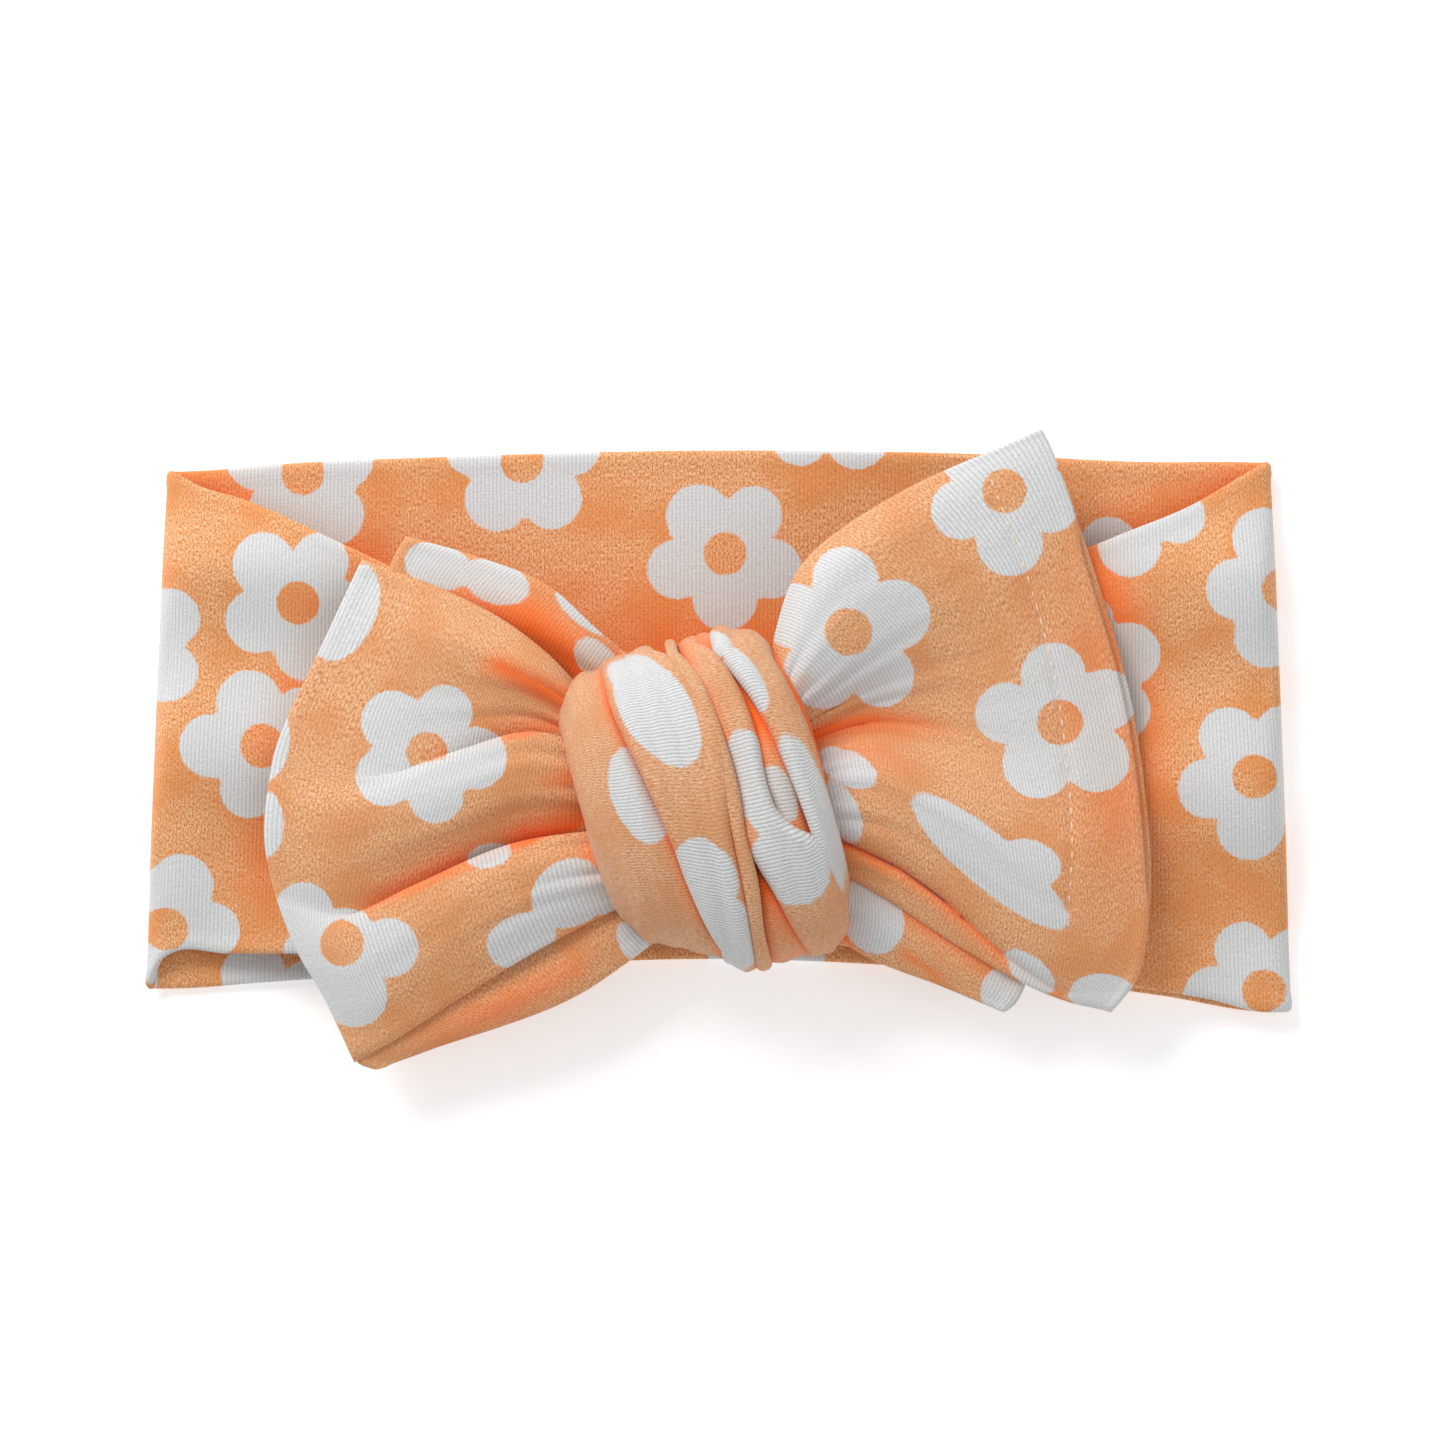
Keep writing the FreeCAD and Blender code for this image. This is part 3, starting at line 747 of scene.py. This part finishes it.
# The stitched hem: the lower ply shows this far past the upper one, from one place along the
# hem to another (0 at the tip, 1 at the lap).
HEM_SHOWS = 1.25
HEM_FROM, HEM_TO = 0.26, 0.80
HEM_DEPTH = 0.17       # of the turned ply, as a share of the tail's length
HEM_UNDER = 1.5        # how far it lies below the upper ply
HEM_THINNER = 0.8      # its thickness, as a share of the doubled cloth's
HEM_TURN_FROM, HEM_TURN_TO = 0.06, 0.90    # the part of the hem which has it
STITCH_LINE = [(41.8, 44.9), (49.6, 23.4), (52.9, 10.7), (54.6, -1.8), (55.5, -15.8), (54.9, -25.1)]
STITCH_PITCH = 2.3
STITCH_LENGTH = 1.5
FIRST_STITCH = 0.6     # of the first one's start, from the line's start
THREAD_RADIUS = 0.17
STITCH_FOOT = -0.12    # height of a stitch's ends above the cloth
STITCH_ARCH = 0.14     # and how much higher its middle is
STITCH_END = 0.35      # thickness of a stitch's ends, as a share of its middle's


def hem_turn():
    """The turned-back ply at the right tail's hem, which shows as a rim past the upper layer."""
    outer = Patch(right_main)
    places = np.linspace(HEM_TURN_FROM, HEM_TURN_TO, 12)
    ribs = []
    for out in (0.0, 0.35, 0.7, 1.0):
        line = outer.at(places, np.array([1 - HEM_DEPTH * (1 - out)]))[:, 0]
        line[:, 2] -= HEM_UNDER
        ribs.append(line)
    patch = Patch(ribs, seen=False)
    q = steps(patch.width, 0.8, CLOTH_HALF)
    r = steps(patch.length, 0.8, CLOTH_HALF)
    points = patch.at(q, r)
    x, y = np.moveaxis(seen_from_camera(points), -1, 0)
    petal, eye = flower_distance(x, y, RIGHT_FLOWERS)
    shade = crease_tint(x, y, HEM_TURN_SHADES)
    size = (patch.length, patch.width)
    piece = closed_sheet("right_tail_hem", points, CLOTH_HALF * HEM_THINNER, q, r, size,
                         gathered_jersey, petal, eye, shade)
    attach(piece, "right_tail")
    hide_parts("right_tail_hem_turn")


def hem_stitches(surface):
    """Separate stitches of thread along the hem, lying in the top of the outer layer."""
    line = np.array(STITCH_LINE)
    gaps = np.hypot(*np.diff(line, axis=0).T)
    knots = np.concatenate([[0], np.cumsum(gaps)])
    flat_seen = seen_from_camera(surface).reshape(-1, 2)
    flat = surface.reshape(-1, 3)
    verts, faces = [], []
    sides, rings = 6, 5
    for number in range(int(knots[-1] / STITCH_PITCH)):
        begin = FIRST_STITCH + number * STITCH_PITCH
        along = np.linspace(begin, begin + STITCH_LENGTH, rings)
        places = smooth(knots, line, along)
        heading = places[-1] - places[0]
        heading /= np.hypot(*heading)
        sideways = np.array([-heading[1], heading[0], 0.0])
        faces += tube_faces(rings, sides, first=len(verts))
        for k, place in enumerate(places):
            under = flat[np.argmin(np.hypot(*(flat_seen - place).T))]
            arch = math.sin(math.pi * k / (rings - 1))
            radius = THREAD_RADIUS * (STITCH_END + (1 - STITCH_END) * arch)
            height = under[2] + CLOTH_HALF + STITCH_FOOT + STITCH_ARCH * arch
            middle = placed_under_camera(np.array([*place, height]))
            for j in range(sides):
                angle = 2 * math.pi * j / sides
                offset = sideways * math.cos(angle) + np.array([0, 0, math.sin(angle)])
                verts.append(middle + offset * radius)
    settings = {"Base Color": (0.86, 0.66, 0.50), "Roughness": 0.6, "Sheen Weight": 0.3}
    thread = new_material("sewing_thread", settings)[0]
    piece = new_object("right_hem_stitches", verts, faces, thread)
    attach(piece, "right_tail")
    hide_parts("right_hem_thread")


def tails():
    tail_sheet("left_tail_outer", left_main,
               ["left_tail_upper_pleat", "left_tail_middle_pleat", "left_tail_lower_pleat",
                "left_tail_neck"],
               LEFT_FLOWERS, LEFT_BLOTS, crease=0.30, shades=LEFT_SHADES, hides=LEFT_PLEAT_EDGE)
    tail_sheet("left_tail_back", left_back, ["left_tail_back_layer"],
               [], LEFT_BACK_BLOTS, crease=0.15, shades=LEFT_BACK_SHADES)
    tail_sheet("left_tail_under", left_under, ["left_tail_under_layer"],
               [], LEFT_UNDER_BLOTS, crease=0.1, shades=LEFT_UNDER_SHADES)
    outer = tail_sheet("right_tail_outer", right_main,
                       ["right_tail_upper_layer", "right_tail_lap", "right_tail_neck"],
                       RIGHT_FLOWERS, RIGHT_BLOTS, crease=0.30, shades=RIGHT_SHADES,
                       hem=HEM_SHOWS, seam=LAP_SEAM)
    tail_sheet("right_tail_low", right_low, ["right_tail_lower_strip"],
               [], RIGHT_LOW_BLOTS, crease=0.1, shades=RIGHT_LOW_SHADES)
    hem_turn()
    hem_stitches(outer)


# --- The knot: overlapping wraps of the folded strip --------------------------------------------
# The knot's outline, as mm along it at places across it: the upper end and the lower end.
OUTLINE_ACROSS = (-18.6, -16.4, -13.6, -9.6, -4.5, 0.2, 5.5, 9.3, 13.5, 16.2, 18.4, 19.8)
OUTLINE_UPPER = (17, 22, 23.4, 23.9, 24.4, 24.8, 25.2, 24.7, 23, 20.2, 15.8, 6)
OUTLINE_LOWER = (-5, -14.5, -18.9, -20.6, -23.4, -26.8, -27.4, -27.2, -27.1, -25, -17, -4)

# Creases between the wraps, as points (x, y) in mm seen from above, upper end first.
CREASES = {
    "left_edge": [(-25.5, 6.8), (-22.2, -4.9), (-20.5, -11.1), (-17.7, -20.5), (-14.2, -27.3),
                  (-11.1, -30.1)],
    "left_middle": [(-17.5, 10.4), (-16.3, 6), (-11.1, -5.2), (-6.9, -14.6), (-4.1, -22),
                    (-2.3, -25.9), (0.9, -31.1)],
    "middle_right": [(-9.7, 15), (-7.6, 14.2), (-3.7, 10), (1, 1), (1.9, -3.3), (2.3, -12.7),
                     (4.1, -22), (5.7, -32.6)],
    "strand_left": [(-6.9, 11.9), (-1.3, 0.5), (1.7, -8.8), (3.5, -17.4), (4.4, -22), (6, -32.6)],
    "strand_right": [(-6.2, 14.8), (-2.9, 11.4), (0.7, 2.6), (3.5, -8), (4.1, -12.7), (6, -19.7),
                     (7.1, -28.3), (8.2, -32.6)],
    "second_left": [(-8.5, 15.6), (-4.1, 11.3), (-0.7, 5.2), (2.1, -1.8), (3.5, -8), (5.2, -15.8),
                    (9.1, -22.8), (13.9, -30.9)],
    "second_right": [(-2.9, 16.7), (1.3, 13.2), (3.3, 9.7), (6.3, 1.3), (7.9, -6.5), (9.3, -9.9),
                     (11.8, -12.4), (15.2, -13.9), (18, -18.1), (19.5, -22.8), (20.2, -30.6)],
    "third_left": [(-2.9, 16.7), (1.3, 13.2), (4.9, 5.7), (8, -6.5), (11.4, -16), (13.4, -22),
                   (15, -30)],
    "long_left": [(-4.1, 17.8), (-0.5, 15.2), (6.3, 6.8), (11.4, -3.7), (15.2, -13.5), (18.8, -22.5),
                  (19.4, -27.5)],
    "long_right": [(4.9, 18.1), (6.8, 16.6), (8.8, 13.8), (13.2, 5.7), (14.9, 1), (16.6, -4.9),
                   (19.4, -15.8), (20.3, -28.3)],
    "behind_right": [(6.8, 17.8), (10.7, 13), (14.2, 4.4), (16.6, -4.9), (19, -21.3)],
    "low_left": [(0.5, -2), (4, -10.4), (6.3, -20.5), (7.2, -29), (8.3, -32.6)],
}
# wrap: its left and right creases; how far each edge is tucked under its neighbour, as (upper end,
# lower end); how far it stands out at both ends; its white patches; the CAD nodes it stands for.
WRAPS = {
    "knot_wrap_left": ("left_edge", "left_middle", (0, 0), (1, 1), (0, 0),
                       [(-12.2, -7.4, 7.7, 4, -69)], ["knot_pleat_1"]),
    "knot_wrap_middle": ("left_middle", "middle_right", (0, 0), (0, 0), (0.9, 0.7),
                         [(-9.1, 5.6, 9.6, 5.1, -58), (-13.4, 10.8, 3.4, 2.3, -30),
                          (-1.8, -19.9, 6.4, 4.4, -69), (1.3, -28.4, 6.7, 4, -73)], ["knot_pleat_2"]),
    "knot_wrap_strand": ("strand_left", "strand_right", (0, 0), (0, 0), (0.3, 0.3), [], []),
    "knot_wrap_low": ("low_left", "second_left", (1, 1), (1, 1), (-2.6, -0.7), [], []),
    "knot_wrap_second": ("second_left", "second_right", (1, 0), (0, 0), (0.1, 0.4),
                         [(6.2, -5.6, 9, 3.3, -71), (11.4, -18, 6.6, 5.1, -54)], ["knot_pleat_3"]),
    "knot_wrap_third": ("third_left", "long_left", (1, 1), (1, 1), (0.1, -0.9),
                        [(9.7, -7, 4.7, 2, -69)], []),
    "knot_wrap_long": ("long_left", "long_right", (0, 0), (0, 0), (0.5, 0.9),
                       [(4.7, 10.5, 5.6, 2, -59), (-2.4, 16.2, 4.6, 2.2, -10),
                        (14.7, -9.9, 12.7, 2.8, -72)],
                       ["knot_pleat_4"]),
    "knot_wrap_behind": ("long_right", "behind_right", (1, 1), (0, 0), (-0.9, -1.6), [], ["knot_pleat_5"]),
}
TUCK_REACH = 2.2       # how far a tucked edge goes on under its neighbour
TUCK_DIP = 2.2         # and how far the wrap has dropped where it goes under
TUCK_SOFTNESS = 1.3    # the distance in which most of that drop happens
ROLL_RADIUS = 2.2      # of a wrap's rolled edge
LEAST_WIDTH = 1.4      # of a wrap, where its two creases meet
RIPPLE = 0.14          # height of the wraps' small ripples
SHADE_DIP = 1.9        # the drop towards an edge at which a wrap is fully in shade
SHARPNESS = 3.2        # of the knot's cross-section: 2 would be an ellipse
WRAP_BOTTOM = 2.0      # height of the wraps' lowest points above the floor
LAST_SHARE = 0.985     # of the knot's half length: a crease's points beyond it aren't used
LEAST_TURN = 0.004     # between two of a crease's points
# A wrap starts and ends on the knot's underside: half turns from the knot's upper end.
WRAP_FROM, WRAP_TO = -0.2, 1.2
# Between these turns a wrap's edges and height change from their upper values to their lower ones.
CHANGE_FROM, CHANGE_TO = 0.42, 0.64


def knot_reach(u):
    """The knot's upper and lower ends and its half height at places u across it."""
    upper = np.interp(u, OUTLINE_ACROSS, OUTLINE_UPPER)
    lower = np.interp(u, OUTLINE_ACROSS, OUTLINE_LOWER)
    filled = np.clip(1 - np.abs(u / KNOT_REACH) ** SHARPNESS, 0.05, 1)
    half_height = KNOT_HALF_HEIGHT * filled ** (1 / SHARPNESS)
    return upper, lower, half_height


def crease_line(points, turn):
    """Where a crease lies across the knot at each turn round it, 0 upper end to 1 lower end."""
    offset = np.array(points, float) - KNOT_CENTRE[:2]
    u = offset @ ACROSS[:2]
    v = offset @ ALONG[:2]
    upper, lower, _ = knot_reach(u)
    share = (v - (upper + lower) / 2) / ((upper - lower) / 2)
    inside = np.abs(share) < LAST_SHARE
    turns, u = np.arccos(share[inside]) / math.pi, u[inside]
    rising = np.concatenate([[True], np.diff(np.maximum.accumulate(turns)) > LEAST_TURN])
    turns, u = turns[rising], u[rising]
    return smooth(turns, u, np.clip(turn, turns.min(), turns.max()))


def edge_dip(distance, tuck, radius):
    """How far a wrap drops towards an edge: rolled over, or tucked under its neighbour."""
    inside = np.clip(distance, 0, radius)
    rolled = radius - np.sqrt(np.clip(radius ** 2 - (radius - inside) ** 2, 0, None))
    tucked = TUCK_DIP * np.exp(-np.clip(distance, -1.2, None) / TUCK_SOFTNESS)
    return -(rolled * (1 - tuck) + tucked * tuck)


def knot_wraps():
    turn = np.linspace(WRAP_FROM, WRAP_TO, 190)
    lower_half = ramp(turn, CHANGE_FROM, CHANGE_TO)
    psi = math.pi * turn[None, :]
    near_ends = np.clip(np.sin(psi), 0, 1)
    for number, (name, spec) in enumerate(WRAPS.items()):
        left_name, right_name, left_tuck, right_tuck, lift, patches, nodes = spec
        tuck_left = left_tuck[0] + (left_tuck[1] - left_tuck[0]) * lower_half
        tuck_right = right_tuck[0] + (right_tuck[1] - right_tuck[0]) * lower_half
        left = crease_line(CREASES[left_name], turn) - TUCK_REACH * tuck_left
        right = crease_line(CREASES[right_name], turn) + TUCK_REACH * tuck_right
        right = np.maximum(right, left + LEAST_WIDTH)
        width = max(float(np.mean(right - left)), 3.0)
        share = steps(width, 0.4, CLOTH_HALF)
        u = left[None, :] * (1 - share[:, None]) + right[None, :] * share[:, None]
        from_left = (u - left[None, :]) - TUCK_REACH * tuck_left
        from_right = (right[None, :] - u) - TUCK_REACH * tuck_right
        radius = np.minimum(ROLL_RADIUS, 0.45 * (right - left))[None, :]
        dip = edge_dip(from_left, tuck_left, radius) + edge_dip(from_right, tuck_right, radius)
        tuck_at = tuck_left * (1 - share[:, None]) + tuck_right * share[:, None]
        ripple = RIPPLE * np.sin(u * 1.7 + number + 1.2 * np.sin(turn[None, :] * 6 + number))
        upper, lower, half_height = knot_reach(u)
        standing = lift[0] + (lift[1] - lift[0]) * lower_half[None, :]
        settled = at_least(0.55, near_ends) * (1 - tuck_at) + at_least(0.25, near_ends) * tuck_at
        radial = standing * at_least(0.4, near_ends) + dip * settled + ripple
        v = (upper + lower) / 2 + ((upper - lower) / 2 + radial) * np.cos(psi)
        w = (half_height + radial) * np.sin(psi)
        points = KNOT_CENTRE + ACROSS * u[..., None] + ALONG * v[..., None]
        points[..., 2] = np.maximum(KNOT_CENTRE[2] + w, WRAP_BOTTOM)
        petal, eye = flower_distance(points[..., 0], points[..., 1], [], patches)
        deep = np.clip(-dip / SHADE_DIP - 0.18 * np.minimum(standing, 0), 0, 1) ** 1.6
        shade = deep * at_least(0.25, np.clip(1.6 * near_ends, 0, 1))

        r = (turn - WRAP_FROM) / (WRAP_TO - WRAP_FROM)
        size = (KNOT_GIRTH, width)
        piece = closed_sheet(name, placed_under_camera(points), CLOTH_HALF, share, r, size,
                             stretched_jersey, petal, eye, shade)
        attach(piece, "front")
        if nodes:
            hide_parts(*nodes)


CORE_FROM, CORE_WIDTH = -15.5, 32.0    # of the turn of cloth inside the knot, across it
CORE_INSET_ALONG, CORE_INSET_UP = 4.2, 3.6     # how far it stays inside the wraps


def knot_core():
    """The turn of cloth inside the wraps, which closes the knot."""
    share = np.linspace(0, 1, 40)[:, None]
    turn = np.linspace(0, 1, 60)[None, :-1]
    u = CORE_FROM + CORE_WIDTH * share + 0 * turn
    upper, lower, half_height = knot_reach(u)
    close = np.sqrt(1 - (2 * share - 1) ** 8)
    psi = 2 * math.pi * turn
    v = (upper + lower) / 2 + ((upper - lower) / 2 - CORE_INSET_ALONG) * close * np.cos(psi)
    points = KNOT_CENTRE + ACROSS * u[..., None] + ALONG * v[..., None]
    points[..., 2] += (half_height - CORE_INSET_UP) * close * np.sin(psi)
    core = new_object("knot_inner", points.reshape(-1, 3), tube_faces(*u.shape), stretched_jersey)
    # The inner turn carries painted shade, fold 0.9, all over, and no print.
    for key, value in (("petal", FAR), ("eye", FAR), ("fold", 0.9)):
        set_attribute(core, key, np.full(u.shape, value))
    set_attribute(core, "knit_along", turn * KNOT_GIRTH + 0 * share)
    set_attribute(core, "knit_across", u)
    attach(core, "front")
    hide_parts("knot_inner_turn")


band_loop()
tails()
knot_wraps()
knot_core()


# --- Floor, light and camera -------------------------------------------------------------------
def studio():
    bpy.ops.mesh.primitive_plane_add(size=6.0, location=(0, 0, -0.0002))
    floor = bpy.context.object
    floor.name = "floor"
    settings = {"Base Color": (0.93, 0.93, 0.93), "Roughness": 0.9,
                "Emission Color": (1.0, 1.0, 1.0), "Emission Strength": 0.35}
    floor.data.materials.append(new_material("pale_floor", settings)[0])

    world = bpy.data.worlds.new("studio")
    world.use_nodes = True
    world.node_tree.nodes["Background"].inputs["Color"].default_value = (1.0, 1.0, 1.0, 1)
    world.node_tree.nodes["Background"].inputs["Strength"].default_value = 0.50
    bpy.context.scene.world = world
    bpy.context.scene.view_settings.view_transform = "Standard"

    for name, place, power, breadth in (
        ("key", (-0.60, 0.85, 0.72), 12.5, 0.65),
        ("fill", (0.9, -0.3, 0.9), 2.5, 0.9),
    ):
        light = bpy.data.lights.new(name, "AREA")
        light.energy = power
        light.size = breadth
        lamp = bpy.data.objects.new(name, light)
        lamp.location = place
        aim = Vector((0, 0, 0)) - Vector(place)
        lamp.rotation_euler = aim.to_track_quat("-Z", "Y").to_euler()
        bpy.context.scene.collection.objects.link(lamp)

    camera = bpy.data.cameras.new("camera")
    camera.lens = 150.0
    camera.sensor_width = 36.0
    camera.clip_start = 0.01
    view = bpy.data.objects.new("camera", camera)
    view.location = (VIEW_CENTRE[0] * MM, VIEW_CENTRE[1] * MM, CAMERA_HEIGHT * MM)
    bpy.context.scene.collection.objects.link(view)
    bpy.context.scene.camera = view


studio()
